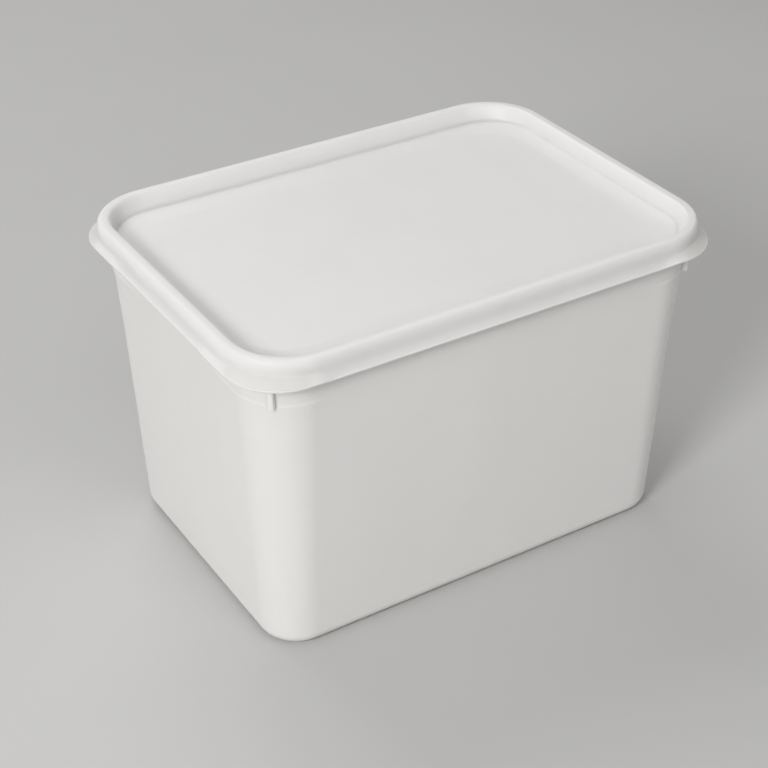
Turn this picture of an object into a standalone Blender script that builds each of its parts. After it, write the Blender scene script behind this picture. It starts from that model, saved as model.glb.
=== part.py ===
# Rectangular four litre ice cream tub with its press-on lid, shut.
# The base stands on z = 0, the long side runs along X and the short side along Y.
# Both mouldings are lofts through rounded rectangles that share one set of stations,
# so every ring has the same number of points and each ring joins the next.

import math

import bpy

MM = 0.001

# Edge of the lid's lip along the straight sides: half sizes and plan corner radius.
LIP_HALF_X = 113.0 * MM
LIP_HALF_Y = 81.9 * MM
LIP_RADIUS = 30.1 * MM

# Pull tabs: at each corner the lip follows a larger outline with a tighter corner.
TAB_STEP = 1.0 * MM
TAB_RADIUS = 23.7 * MM
TAB_LIFT = 0.95 * MM
TAB_SHORT_START = 34.5 * MM
TAB_SHORT_FULL = 42.5 * MM
TAB_LONG_START = 78.0 * MM
TAB_LONG_FULL = 86.0 * MM

# Heights of the lid.
TOTAL_HEIGHT = 148.7 * MM
LIP_HEIGHT = 137.15 * MM
LIP_THICKNESS = 1.0 * MM
CREASE_HEIGHT = 142.6 * MM
BEAD_WALL_TOP = 144.4 * MM
RECESS_FLOOR = 141.9 * MM
PANEL_HEIGHT = 141.0 * MM
LID_WALL = 1.2 * MM

# Insets of the lid's features from the lip's edge, on the short sides and then on the long sides.
SWEEP_START = (0.15 * MM, 0.15 * MM)
SWEEP_FLARE = 0.96
BEAD_INSET = (0.55 * MM, 0.9 * MM)
BEAD_RADIUS = 28.7 * MM
BEAD_ROUND_WIDTH = 2.1 * MM
BEAD_TOP_INNER = (5.8 * MM, 4.6 * MM)
RECESS_WALL_TOP = (6.9 * MM, 6.3 * MM)
RECESS_WALL_FOOT = (7.4 * MM, 9.6 * MM)
BAND_OUTER = (9.0 * MM, 12.6 * MM)
BAND_INNER = (16.2 * MM, 21.0 * MM)
PANEL_RADIUS = 16.5 * MM

# Small rounds between the bead, the recess wall and the band: how far in, and how high or low.
BEAD_EASE = 0.7 * MM
BEAD_EASE_DROP = 0.35 * MM
WALL_TOP_DROP = 1.4 * MM
WALL_FOOT_RISE = 1.0 * MM
FOOT_EASE = 0.5 * MM
FOOT_EASE_RISE = 0.25 * MM
BAND_EDGE_DROP = 0.1 * MM

# Channel under the bead that takes the tub's rim, and the underside of the lip.
CHANNEL_ROOF = TOTAL_HEIGHT - LID_WALL
CHANNEL_RADIUS = BEAD_RADIUS - LID_WALL
CHANNEL_ROUND = 0.9 * MM
CHANNEL_ROUND_DROP = 1.6 * MM
CHANNEL_DRAFT = 0.2 * MM
CHANNEL_WALL_TOP = BEAD_WALL_TOP - 0.6 * MM
CHANNEL_WALL_END = CREASE_HEIGHT - 1.4 * MM
UNDER_SWEEP_FLARE = 0.10
LIP_ROOT = 1.5 * MM
LIP_ROOT_FLARE = 0.82
LIP_UNDER = 1.0 * MM
LIP_UNDER_RISE = 0.2 * MM
LIP_UNDER_FLARE = 0.97
LIP_EDGE = 0.15 * MM
LIP_EDGE_SHARES = (0.2, 0.8)

# Tub body.
BASE_HALF_X = 100.45 * MM
BASE_HALF_Y = 69.35 * MM
BASE_RADIUS = 17.45 * MM
BASE_ROUND = 6.0 * MM
WALL_DRAFT = 6.3 / 137.0
RADIUS_GROWTH = 5.35 / 137.0
FOOT_WIDTH = 4.0 * MM
FOOT_SLOPE = 1.0 * MM
FOOT_RECESS = 1.5 * MM

# The wall eases outwards to a shoulder under the rim, which has a small ledge on top at the corners,
# and the neck is above it. Each pair is how far out it stands on the straight sides, then at the corners.
EASE_START = 96.0 * MM
SHOULDER_START = 120.3 * MM
SHOULDER_START_OUT = (0.35 * MM, 0.4 * MM)
SHOULDER_TOP = 126.0 * MM
SHOULDER_OUT = (0.7 * MM, 0.92 * MM)
LEDGE_RISE = 0.7 * MM
NECK_OUT = (0.74 * MM, 0.66 * MM)
NECK_TOP = 138.0 * MM
NECK_TOP_OUT = (1.3 * MM, 1.3 * MM)

# Rim that the lid is pressed over, inside the lid's channel.
FIT_GAP = 0.3 * MM
RIM_RADIUS = CHANNEL_RADIUS - FIT_GAP
RIM_UNDERSIDE = 139.0 * MM
RIM_TOP = CHANNEL_ROOF - FIT_GAP
RIM_EDGE = 0.3 * MM
RIM_EDGE_RISE = 0.5 * MM
RIM_DRAFT = 0.25 * MM
RIM_ROUND = 1.2 * MM
RIM_ROUND_DROP = 2.2 * MM
RIM_INNER = (4.7 * MM, 3.8 * MM)

# Upright ribs that carry the rim at the four corners.
RIB_THICKNESS = 2.0 * MM
RIB_REACH = 3.2 * MM
RIB_SINK = 2.0 * MM
RIB_BOTTOM = 125.4 * MM
RIB_TOP = 139.8 * MM
RIB_ANGLE = math.radians(47.0)

CORNER_STEPS = 10
ROUND_STEPS = 4
TUB_WHITE = (0.80, 0.79, 0.78, 1.0)
LID_WHITE = (0.82, 0.81, 0.80, 1.0)
TUB_ROUGHNESS = 0.42
LID_ROUGHNESS = 0.38


def clear_scene():
    for found in list(bpy.data.objects):
        bpy.data.objects.remove(found)


def smooth(value):
    """Eases a share from 0 to 1."""
    value = min(1.0, max(0.0, value))
    return value * value * (3.0 - 2.0 * value)


def quarter_stations():
    """Places along a quarter of the outline: ("short", share), ("arc", angle), ("long", share)."""
    short_straight = LIP_HALF_Y - LIP_RADIUS
    long_straight = LIP_HALF_X - LIP_RADIUS
    short_marks = (TAB_SHORT_START, (TAB_SHORT_START + TAB_SHORT_FULL) / 2, TAB_SHORT_FULL)
    long_marks = ((long_straight + TAB_LONG_START) / 2, TAB_LONG_START)
    stations = [("short", mark / short_straight) for mark in short_marks]
    stations += [("arc", math.pi / 2 * i / CORNER_STEPS) for i in range(CORNER_STEPS + 1)]
    stations += [("long", mark / long_straight) for mark in long_marks]
    return stations


def quarter_point(station, half_x, half_y, radius):
    """Point of one station on a rounded rectangle, and its outward direction."""
    kind, value = station
    if kind == "short":
        return (half_x, value * (half_y - radius)), (1.0, 0.0)
    if kind == "long":
        return (value * (half_x - radius), half_y), (0.0, 1.0)
    c, s = math.cos(value), math.sin(value)
    return (half_x - radius + radius * c, half_y - radius + radius * s), (c, s)


def tab_share(station):
    """How much of the pull tab there is at a station, from 0 on the sides to 1 at the corner."""
    (x, y), _ = quarter_point(station, LIP_HALF_X, LIP_HALF_Y, LIP_RADIUS)
    if station[0] == "short":
        return smooth((y - TAB_SHORT_START) / (TAB_SHORT_FULL - TAB_SHORT_START))
    return smooth((x - TAB_LONG_START) / (TAB_LONG_FULL - TAB_LONG_START))


def tab_reach(station):
    """How far the pull tab's outline lies outside the plain lip at a station."""
    kind, angle = station
    if kind != "arc":
        return TAB_STEP
    c, s = math.cos(angle), math.sin(angle)
    side = LIP_RADIUS + TAB_STEP
    shift = side - TAB_RADIUS
    if side * min(c, s) < shift * max(c, s):
        return side / max(c, s) - LIP_RADIUS
    along = shift * (c + s)
    return along + math.sqrt(TAB_RADIUS**2 - 2 * shift**2 + along**2) - LIP_RADIUS


def mirrored(quarter):
    """A closed ring, anticlockwise from above, from the points of its +X +Y quarter."""
    ring = list(quarter)
    ring += [(-x, y, z) for x, y, z in reversed(quarter)]
    ring += [(-x, -y, z) for x, y, z in quarter]
    ring += [(x, -y, z) for x, y, z in reversed(quarter)]
    return ring


def ring_at(half_x, half_y, radius, height, flare=0.0, lift=0.0, swell=0.0):
    """One section. Towards the corners it takes on a share of the pull tab's reach, a lift and a swell."""
    quarter = []
    for station in quarter_stations():
        (x, y), (nx, ny) = quarter_point(station, half_x, half_y, radius)
        share = tab_share(station)
        out = share * (flare * tab_reach(station) + swell)
        quarter.append((x + nx * out, y + ny * out, height + lift * share))
    return mirrored(quarter)


def inset_ring(inset, height, flare=0.0, lift=0.0, radius=None):
    """A section of the lid. The inset is one number, or a pair for the short and the long sides."""
    short, long = inset if isinstance(inset, tuple) else (inset, inset)
    corner = LIP_RADIUS - (short + long) / 2 if radius is None else radius
    return ring_at(LIP_HALF_X - short, LIP_HALF_Y - long, corner, height, flare, lift)


def shifted(pair, by):
    """A pair of insets moved inwards by one amount."""
    return tuple(value + by for value in pair)


def between(first, second, share):
    """A value or a pair that lies a share of the way from the first to the second."""
    if isinstance(first, tuple):
        return tuple(a + (b - a) * share for a, b in zip(first, second))
    return first + (second - first) * share


def wall_ring(height, out=(0.0, 0.0)):
    """A section of the tub's drafted wall, moved outwards on the sides and at the corners."""
    side, corner = out
    half_x = BASE_HALF_X + WALL_DRAFT * height + side
    half_y = BASE_HALF_Y + WALL_DRAFT * height + side
    radius = BASE_RADIUS + RADIUS_GROWTH * height + side
    return ring_at(half_x, half_y, radius, height, swell=corner - side)


def loft(name, rings, material, collection):
    """A closed solid through the rings, with a flat cap on the first and the last."""
    count = len(rings[0])
    points = [point for ring in rings for point in ring]
    faces = [tuple(reversed(range(count))), tuple(range(len(points) - count, len(points)))]
    for level in range(len(rings) - 1):
        low, high = level * count, (level + 1) * count
        for i in range(count):
            j = (i + 1) % count
            faces.append((low + i, low + j, high + j, high + i))
    mesh = bpy.data.meshes.new(name)
    mesh.from_pydata(points, [], faces)
    mesh.shade_smooth()
    mesh.set_sharp_from_angle(angle=math.radians(35))
    mesh.materials.append(material)
    moulding = bpy.data.objects.new(name, mesh)
    collection.objects.link(moulding)
    return moulding


def plastic(name, colour, roughness):
    material = bpy.data.materials.new(name)
    material.use_nodes = True
    shader = material.node_tree.nodes["Principled BSDF"]
    shader.inputs["Base Color"].default_value = colour
    shader.inputs["Roughness"].default_value = roughness
    shader.inputs["Metallic"].default_value = 0.0
    return material


def lid_underside():
    """Rings from under the panel, round the channel that takes the tub's rim, to the lip's lower edge."""
    recess_foot = RECESS_FLOOR - LID_WALL
    wall_foot = RECESS_FLOOR + BEAD_EASE_DROP
    wall_top = CHANNEL_ROOF - LID_WALL
    channel = shifted(BEAD_INSET, LID_WALL)
    roof_edge = shifted(channel, CHANNEL_ROUND)
    wall_high = shifted(channel, CHANNEL_DRAFT)
    return [
        inset_ring(BAND_INNER, PANEL_HEIGHT - LID_WALL, radius=PANEL_RADIUS),
        inset_ring(shifted(BAND_OUTER, -FIT_GAP), recess_foot),
        inset_ring(shifted(RECESS_WALL_FOOT, -LID_WALL), wall_foot),
        inset_ring(shifted(RECESS_WALL_TOP, -LID_WALL), wall_top),
        inset_ring(shifted(BEAD_TOP_INNER, -FOOT_EASE), CHANNEL_ROOF),
        inset_ring(roof_edge, CHANNEL_ROOF, radius=CHANNEL_RADIUS - CHANNEL_ROUND),
        inset_ring(wall_high, CHANNEL_ROOF - CHANNEL_ROUND_DROP, radius=CHANNEL_RADIUS - CHANNEL_DRAFT),
        inset_ring(channel, CHANNEL_WALL_TOP, radius=CHANNEL_RADIUS),
        inset_ring(channel, CHANNEL_WALL_END, flare=UNDER_SWEEP_FLARE, radius=CHANNEL_RADIUS),
        inset_ring(LIP_ROOT, LIP_HEIGHT + LIP_THICKNESS, flare=LIP_ROOT_FLARE, lift=TAB_LIFT),
        inset_ring(LIP_UNDER, LIP_HEIGHT + LIP_UNDER_RISE, flare=LIP_UNDER_FLARE, lift=TAB_LIFT),
        inset_ring(LIP_EDGE, LIP_HEIGHT, flare=1.0, lift=TAB_LIFT),
    ]


def lid_outside():
    """Rings from the lip's edge, up the sweep and over the bead."""
    rings = []
    for share in LIP_EDGE_SHARES:
        rings.append(inset_ring(0.0, LIP_HEIGHT + LIP_THICKNESS * share, flare=1.0, lift=TAB_LIFT))
    low = LIP_HEIGHT + LIP_THICKNESS
    for i in range(ROUND_STEPS + 1):
        share = i / ROUND_STEPS
        left = 1 - share
        inset = between(SWEEP_START, BEAD_INSET, 1 - left**2)
        radius = between(LIP_RADIUS, BEAD_RADIUS, 1 - left**2)
        height = between(low, CREASE_HEIGHT, share)
        rings.append(inset_ring(inset, height, SWEEP_FLARE * left, TAB_LIFT * left, radius))
    for i in range(ROUND_STEPS + 1):
        angle = math.pi / 2 * i / ROUND_STEPS
        step = BEAD_ROUND_WIDTH * (1 - math.cos(angle))
        height = between(BEAD_WALL_TOP, TOTAL_HEIGHT, math.sin(angle))
        rings.append(inset_ring(shifted(BEAD_INSET, step), height, radius=BEAD_RADIUS - step))
    return rings


def lid_recess():
    """Rings from the bead's top down the recess wall and the sloping band to the panel."""
    return [
        inset_ring(BEAD_TOP_INNER, TOTAL_HEIGHT),
        inset_ring(shifted(BEAD_TOP_INNER, BEAD_EASE), TOTAL_HEIGHT - BEAD_EASE_DROP),
        inset_ring(RECESS_WALL_TOP, TOTAL_HEIGHT - WALL_TOP_DROP),
        inset_ring(RECESS_WALL_FOOT, RECESS_FLOOR + WALL_FOOT_RISE),
        inset_ring(shifted(RECESS_WALL_FOOT, FOOT_EASE), RECESS_FLOOR + FOOT_EASE_RISE),
        inset_ring(BAND_OUTER, RECESS_FLOOR - BAND_EDGE_DROP),
        inset_ring(BAND_INNER, PANEL_HEIGHT, radius=PANEL_RADIUS),
    ]


def make_lid(collection, material):
    rings = lid_underside() + lid_outside() + lid_recess()
    return loft("lid", rings, material, collection)


def base_rings():
    """Rings from the base's shallow recess over the foot and round the lower edge."""
    foot_inner = BASE_ROUND + FOOT_WIDTH
    rings = []
    for inset, height in ((foot_inner + FOOT_SLOPE, FOOT_RECESS), (foot_inner, 0.0)):
        rings.append(ring_at(BASE_HALF_X - inset, BASE_HALF_Y - inset, BASE_RADIUS - inset, height))
    for i in range(ROUND_STEPS + 1):
        angle = math.pi / 2 * i / ROUND_STEPS
        inset = BASE_ROUND * (1 - math.sin(angle))
        height = BASE_ROUND * (1 - math.cos(angle))
        rings.append(wall_ring(height, out=(-inset, -inset)))
    return rings


def shoulder_rings():
    """Rings of the wall that eases out to the shoulder, then of the neck above its ledge."""
    return [
        wall_ring(EASE_START),
        wall_ring(SHOULDER_START, out=SHOULDER_START_OUT),
        wall_ring(SHOULDER_TOP, out=SHOULDER_OUT),
        wall_ring(SHOULDER_TOP + LEDGE_RISE, out=NECK_OUT),
        wall_ring(NECK_TOP, out=NECK_TOP_OUT),
    ]


def rim_rings():
    """Rings of the rim inside the lid's channel, then down to the filled top under the panel."""
    outer = shifted(BEAD_INSET, LID_WALL + FIT_GAP)
    outline = [
        (RIM_EDGE, RIM_UNDERSIDE),
        (0.0, RIM_UNDERSIDE + RIM_EDGE_RISE),
        (RIM_DRAFT, RIM_TOP - RIM_ROUND_DROP),
        (RIM_ROUND, RIM_TOP),
    ]
    rings = [inset_ring(shifted(outer, step), height, radius=RIM_RADIUS - step) for step, height in outline]
    rings.append(inset_ring(RIM_INNER, RIM_TOP))
    rings.append(inset_ring(shifted(RIM_INNER, RIM_EDGE), PANEL_HEIGHT - LID_WALL - FIT_GAP))
    return rings


def make_tub(collection, material):
    rings = base_rings() + shoulder_rings() + rim_rings()
    return loft("tub", rings, material, collection)


def make_rib(number, side_x, side_y, collection):
    """A short upright rib at a corner, sunk into the wall."""
    radius = BASE_RADIUS + RADIUS_GROWTH * RIB_BOTTOM
    centre_x = BASE_HALF_X + WALL_DRAFT * RIB_BOTTOM - radius
    centre_y = BASE_HALF_Y + WALL_DRAFT * RIB_BOTTOM - radius
    along = radius + (RIB_REACH - RIB_SINK) / 2
    x = side_x * (centre_x + along * math.cos(RIB_ANGLE))
    y = side_y * (centre_y + along * math.sin(RIB_ANGLE))
    bpy.ops.mesh.primitive_cube_add(size=1, location=(x, y, (RIB_BOTTOM + RIB_TOP) / 2))
    rib = bpy.context.object
    rib.name = f"rib_{number}"
    rib.rotation_euler = (0, 0, math.atan2(side_y * math.sin(RIB_ANGLE), side_x * math.cos(RIB_ANGLE)))
    rib.scale = (RIB_REACH + RIB_SINK, RIB_THICKNESS, RIB_TOP - RIB_BOTTOM)
    for home in list(rib.users_collection):
        home.objects.unlink(rib)
    collection.objects.link(rib)
    rib.hide_render = True
    rib.display_type = "WIRE"
    return rib


def add_ribs(tub, cutters):
    corners = [(1, 1), (-1, 1), (-1, -1), (1, -1)]
    for number, (side_x, side_y) in enumerate(corners, start=1):
        make_rib(number, side_x, side_y, cutters)
    union = tub.modifiers.new("ribs", "BOOLEAN")
    union.operation = "UNION"
    union.operand_type = "COLLECTION"
    union.collection = cutters
    union.solver = "EXACT"


def main():
    clear_scene()
    parts = bpy.data.collections.new("ice_cream_tub")
    cutters = bpy.data.collections.new("rib_blocks")
    bpy.context.scene.collection.children.link(parts)
    bpy.context.scene.collection.children.link(cutters)
    tub = make_tub(parts, plastic("tub_plastic", TUB_WHITE, TUB_ROUGHNESS))
    add_ribs(tub, cutters)
    make_lid(parts, plastic("lid_plastic", LID_WHITE, LID_ROUGHNESS))


main()
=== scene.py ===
import math

import bpy
from mathutils import Matrix, Vector


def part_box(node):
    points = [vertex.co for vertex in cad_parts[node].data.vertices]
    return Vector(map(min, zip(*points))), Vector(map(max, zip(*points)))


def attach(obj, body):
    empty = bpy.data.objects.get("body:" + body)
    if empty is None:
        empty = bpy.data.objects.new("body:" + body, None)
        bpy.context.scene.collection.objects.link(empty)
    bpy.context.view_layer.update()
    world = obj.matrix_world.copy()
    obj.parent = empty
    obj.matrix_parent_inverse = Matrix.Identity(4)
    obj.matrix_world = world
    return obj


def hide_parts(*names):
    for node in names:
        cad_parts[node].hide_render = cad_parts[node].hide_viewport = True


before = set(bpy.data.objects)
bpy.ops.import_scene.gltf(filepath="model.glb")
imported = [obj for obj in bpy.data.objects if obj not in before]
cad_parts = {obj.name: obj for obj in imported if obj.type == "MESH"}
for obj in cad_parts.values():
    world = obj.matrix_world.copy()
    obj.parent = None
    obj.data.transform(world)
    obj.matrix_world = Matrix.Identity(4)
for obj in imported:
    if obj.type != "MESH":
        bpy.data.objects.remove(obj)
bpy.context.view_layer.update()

# Looks of a rectangular white ice cream tub with its press-on lid, shut.
# Both mouldings are lofts: one node tree sweeps a profile round the lip's outline and bends it
# to the rule of each row's size, corner radius, draft and corner tabs.

mm = 0.001
sharpAngle = math.radians(40.0)  # an edge that turns by more than this is shaded sharp
lidLow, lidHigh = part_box("lid")


# Helpers for node trees

def addNode(tree, kind, values=None, **settings):
    # values are set or linked by socket number or name
    node = tree.nodes.new(kind)
    for name, value in settings.items():
        setattr(node, name, value)
    for key, value in (values or {}).items():
        if isinstance(value, bpy.types.NodeSocket):
            tree.links.new(value, node.inputs[key])
        else:
            node.inputs[key].default_value = value
    return node


def calc(tree, operation, first, second=0.0, third=0.0):
    values = {0: first, 1: second, 2: third}
    return addNode(tree, "ShaderNodeMath", values, operation=operation).outputs[0]


def vectorCalc(tree, operation, first, second=(0.0, 0.0, 0.0)):
    values = {0: first, 1: second}
    return addNode(tree, "ShaderNodeVectorMath", values, operation=operation).outputs[0]


def scaledVector(tree, vector, scale):
    values = {0: vector, "Scale": scale}
    return addNode(tree, "ShaderNodeVectorMath", values, operation="SCALE").outputs[0]


def joinAxes(tree, x=0.0, y=0.0, z=0.0):
    return addNode(tree, "ShaderNodeCombineXYZ", {0: x, 1: y, 2: z}).outputs[0]


def splitAxes(tree, vector):
    return addNode(tree, "ShaderNodeSeparateXYZ", {0: vector}).outputs


def mixValues(tree, share, first, second):
    values = {0: share, 2: first, 3: second}
    return addNode(tree, "ShaderNodeMix", values, data_type="FLOAT").outputs[0]


def mixColours(tree, share, first, second):
    values = {0: share, 6: first, 7: second}
    return addNode(tree, "ShaderNodeMix", values, data_type="RGBA").outputs[2]


def easedStep(tree, value, start, full):
    values = {"Value": value, "From Min": start, "From Max": full}
    return addNode(tree, "ShaderNodeMapRange", values, interpolation_type="SMOOTHSTEP").outputs[0]


def cloudNoise(tree, place, size, detail, distortion=0.0):
    # size is about how far apart its clouds stand
    return addNode(tree, "ShaderNodeTexNoise", {
        "Vector": place,
        "Scale": calc(tree, "DIVIDE", 1.0, size),
        "Detail": detail,
        "Distortion": distortion,
    }).outputs[0]


def newTree(name, kind, inputs, outputs):
    tree = bpy.data.node_groups.new(name, kind)
    for label, socketType, value in inputs:
        socket = tree.interface.new_socket(label, in_out="INPUT", socket_type=socketType)
        if value is not None:
            socket.default_value = value
    for label, socketType in outputs:
        tree.interface.new_socket(label, in_out="OUTPUT", socket_type=socketType)
    return tree, tree.nodes.new("NodeGroupInput"), tree.nodes.new("NodeGroupOutput")


def evaluated(name, tree, values):
    # one plain mesh out of a geometry tree, with the modifier gone
    maker = bpy.data.objects.new(name, bpy.data.meshes.new(name))
    bpy.context.scene.collection.objects.link(maker)
    modifier = maker.modifiers.new(tree.name, "NODES")
    modifier.node_group = tree
    sockets = [item for item in tree.interface.items_tree if item.in_out == "INPUT"]
    identifiers = {socket.name: socket.identifier for socket in sockets}
    for label, value in values.items():
        modifier[identifiers[label]] = value
    depsgraph = bpy.context.evaluated_depsgraph_get()
    mesh = bpy.data.meshes.new_from_object(maker.evaluated_get(depsgraph))
    maker.modifiers.remove(modifier)
    mesh.name = name
    maker.data = mesh
    return maker


def finishMesh(piece, spent):
    # shades the piece, and takes off the attributes that only its tree needed
    for label in [a.name for a in piece.data.attributes if a.name in spent]:
        piece.data.attributes.remove(piece.data.attributes[label])
    piece.data.set_sharp_from_angle(angle=sharpAngle)
    print(piece.name, len(piece.data.polygons), "faces")
    return piece


# Outline of the lid's lip, with the pull tabs at its corners

tab = {
    "step": 1.0 * mm,  # how far it stands out from the straight sides
    "radius": 23.7 * mm,
    "lift": 0.95 * mm,
    "shortFrom": 34.5 * mm,  # from the middle of a side to where it starts and where it is full
    "shortTo": 42.5 * mm,
    "longFrom": 78.0 * mm,
    "longTo": 86.0 * mm,
}

lip = {
    "halfLength": lidHigh.x - tab["step"],
    "halfWidth": lidHigh.y - tab["step"],
    "radius": 30.1 * mm,
    "height": lidLow.z,
    "thickness": 1.0 * mm,
}

outlineSteps = {
    "corner": 36,  # steps round each corner
    "side": 7.0 * mm,  # step along the straight sides
    "tab": 0.8 * mm,  # finer step where a tab starts
    "margin": 1.6 * mm,
}


def spaced(start, end, step):
    # evenly spaced values from start up to, but not with, end
    count = max(1, math.ceil((end - start) / step))
    return [start + (end - start) * i / count for i in range(count)]


def sideMarks(straight, start, full):
    # places along half a straight side, close together where the tab grows
    fineFrom = start - outlineSteps["margin"]
    fineTo = min(full + outlineSteps["margin"], straight)
    marks = spaced(0.0, fineFrom, outlineSteps["side"])
    marks += spaced(fineFrom, fineTo, outlineSteps["tab"])
    if fineTo < straight:
        marks += spaced(fineTo, straight, outlineSteps["side"])
    return marks


def quarterOutline():
    # from the middle of the short side at +X round the corner to the middle of the long side at +Y
    radius = lip["radius"]
    coreX = lip["halfLength"] - radius
    coreY = lip["halfWidth"] - radius
    shortMarks = sideMarks(coreY, tab["shortFrom"], tab["shortTo"])
    longMarks = sideMarks(coreX, tab["longFrom"], tab["longTo"])
    points = [(lip["halfLength"], y) for y in shortMarks]
    for i in range(outlineSteps["corner"] + 1):
        angle = math.pi / 2 * i / outlineSteps["corner"]
        points.append((coreX + radius * math.cos(angle), coreY + radius * math.sin(angle)))
    return points + [(x, lip["halfWidth"]) for x in reversed(longMarks)]


def fullOutline():
    quarter = quarterOutline()
    half = quarter + [(-x, y) for x, y in reversed(quarter[:-1])]
    return half + [(x, -y) for x, y in reversed(half[1:-1])]


def chain(name, points, closed=False, attributes=None):
    # a string of edges that a tree reads as an outline or a profile
    edges = [(i, i + 1) for i in range(len(points) - 1)]
    if closed:
        edges.append((len(points) - 1, 0))
    mesh = bpy.data.meshes.new(name)
    mesh.from_pydata(points, edges, [])
    for label, values in (attributes or {}).items():
        mesh.attributes.new(label, "FLOAT", "POINT").data.foreach_set("value", values)
    string = bpy.data.objects.new(name, mesh)
    bpy.context.scene.collection.objects.link(string)
    return string


# Profiles: a row is one section of a moulding. Its place is the insets from the lip's outline on
# the short and the long sides, and the height. Its rule is the corner radius, the shares of the
# tab's reach and lift, the swell at the corners and how much the wall gives. The size of the
# round at that row comes last.

placeLabels = ("short", "long", "height")
ruleLabels = ("cornerRadius", "flare", "lift", "swell", "give")
giveAt = len(placeLabels) + ruleLabels.index("give")
roundSteps = 5
holdDistance = 0.4 * mm  # rows that keep a round's shading off the flat beside it
holdGaps = 4  # a gap longer than this many of those distances gets such rows
sameRow = 0.001 * mm


def makeRow(inset, height, radius=None, flare=0.0, lift=0.0, swell=0.0, give=0.0, ease=0.0):
    short, long = inset if isinstance(inset, tuple) else (inset, inset)
    corner = lip["radius"] - (short + long) / 2 if radius is None else radius
    return [short, long, height, corner, flare, lift, swell, give, ease]


def movedIn(pair, by):
    return tuple(value + by for value in pair)


def mixRows(first, second, share):
    return [a + (b - a) * share for a, b in zip(first, second)]


def rowGap(first, second):
    inwards = (second[0] + second[1] - first[0] - first[1]) / 2
    return math.hypot(inwards, second[2] - first[2])


def middleRow(row, height):
    # the row shrunk to a line down its own middle, which closes the moulding
    reach = lip["halfWidth"] - row[1]
    return makeRow((row[0] + reach, row[1] + reach), height, radius=0.0, give=row[giveAt])


def roundedRows(rows):
    # each row with a round is replaced by the rows of a curve that starts and ends that far away,
    # or half way to the next row where that is nearer
    done = [rows[0]]
    for before, corner, after in zip(rows, rows[1:], rows[2:]):
        ease = corner[-1]
        if ease == 0:
            done.append(corner)
            continue
        start = mixRows(corner, before, min(0.5, ease / rowGap(corner, before)))
        end = mixRows(corner, after, min(0.5, ease / rowGap(corner, after)))
        for i in range(roundSteps + 1):
            share = i / roundSteps
            first, second = mixRows(start, corner, share), mixRows(corner, end, share)
            done.append(mixRows(first, second, share))
    done.append(rows[-1])
    return [done[0]] + [row for last, row in zip(done, done[1:]) if rowGap(last, row) > sameRow]


def filledRows(rows, longest):
    # no gap between rows is longer than longest, and each long gap has a row close to both ends
    done = [rows[0]]
    for before, after in zip(rows, rows[1:]):
        gap = rowGap(before, after)
        if gap > holdGaps * holdDistance:
            hold = holdDistance / gap
            shares = [hold] + spaced(hold, 1 - hold, longest / gap)[1:] + [1 - hold]
            done += [mixRows(before, after, share) for share in shares]
        done.append(after)
    return done


def profileChain(name, rows):
    places = len(placeLabels)
    rules = {label: [row[places + i] for row in rows] for i, label in enumerate(ruleLabels)}
    return chain(name, [row[:places] for row in rows], attributes=rules)


# Node tree of the loft

loftInputs = [
    ("Outline", "NodeSocketObject", None),
    ("Profile", "NodeSocketObject", None),
    ("Half length", "NodeSocketFloat", 0.1),
    ("Half width", "NodeSocketFloat", 0.1),
    ("Corner radius", "NodeSocketFloat", 0.03),
    ("Tab step", "NodeSocketFloat", 0.001),
    ("Tab radius", "NodeSocketFloat", 0.02),
    ("Tab lift", "NodeSocketFloat", 0.001),
    ("Short side start", "NodeSocketFloat", 0.03),
    ("Short side full", "NodeSocketFloat", 0.04),
    ("Long side start", "NodeSocketFloat", 0.07),
    ("Long side full", "NodeSocketFloat", 0.08),
    ("Wall give", "NodeSocketFloat", 0.0001),
    ("Give size", "NodeSocketFloat", 0.05),
    ("Material", "NodeSocketMaterial", None),
]
loftMarks = ("rowPlace", "outward", "foot", "tabShare", "tabReach")
loftWeld = 0.002 * mm  # points closer than this become one


def readAttribute(tree, name, kind="FLOAT"):
    node = addNode(tree, "GeometryNodeInputNamedAttribute", {"Name": name}, data_type=kind)
    return node.outputs["Attribute"]


def storeAttribute(tree, geometry, name, value, kind="FLOAT"):
    values = {"Geometry": geometry, "Name": name, "Value": value}
    node = addNode(tree, "GeometryNodeStoreNamedAttribute", values, data_type=kind, domain="POINT")
    return node.outputs["Geometry"]


def objectGeometry(tree, source):
    return addNode(tree, "GeometryNodeObjectInfo", {"Object": source}).outputs["Geometry"]


def pointPlace(tree):
    return addNode(tree, "GeometryNodeInputPosition").outputs[0]


def tabReachSocket(tree, given, outX, outY):
    # how far the tab's outline lies outside the plain lip, along the direction (outX, outY)
    side = calc(tree, "ADD", given["Corner radius"], given["Tab step"])
    shift = calc(tree, "SUBTRACT", side, given["Tab radius"])
    more = calc(tree, "MAXIMUM", outX, outY)
    less = calc(tree, "MINIMUM", outX, outY)
    straight = calc(tree, "DIVIDE", side, more)
    along = calc(tree, "MULTIPLY", shift, calc(tree, "ADD", outX, outY))
    room = calc(tree, "SUBTRACT", calc(tree, "POWER", given["Tab radius"], 2.0),
                calc(tree, "MULTIPLY", calc(tree, "POWER", shift, 2.0), 2.0))
    root = calc(tree, "SQRT", calc(tree, "ADD", room, calc(tree, "POWER", along, 2.0)))
    curved = calc(tree, "ADD", along, root)
    onStraight = calc(tree, "LESS_THAN", calc(tree, "MULTIPLY", side, less),
                      calc(tree, "MULTIPLY", shift, more))
    reach = mixValues(tree, onStraight, curved, straight)
    return calc(tree, "SUBTRACT", reach, given["Corner radius"])


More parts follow.
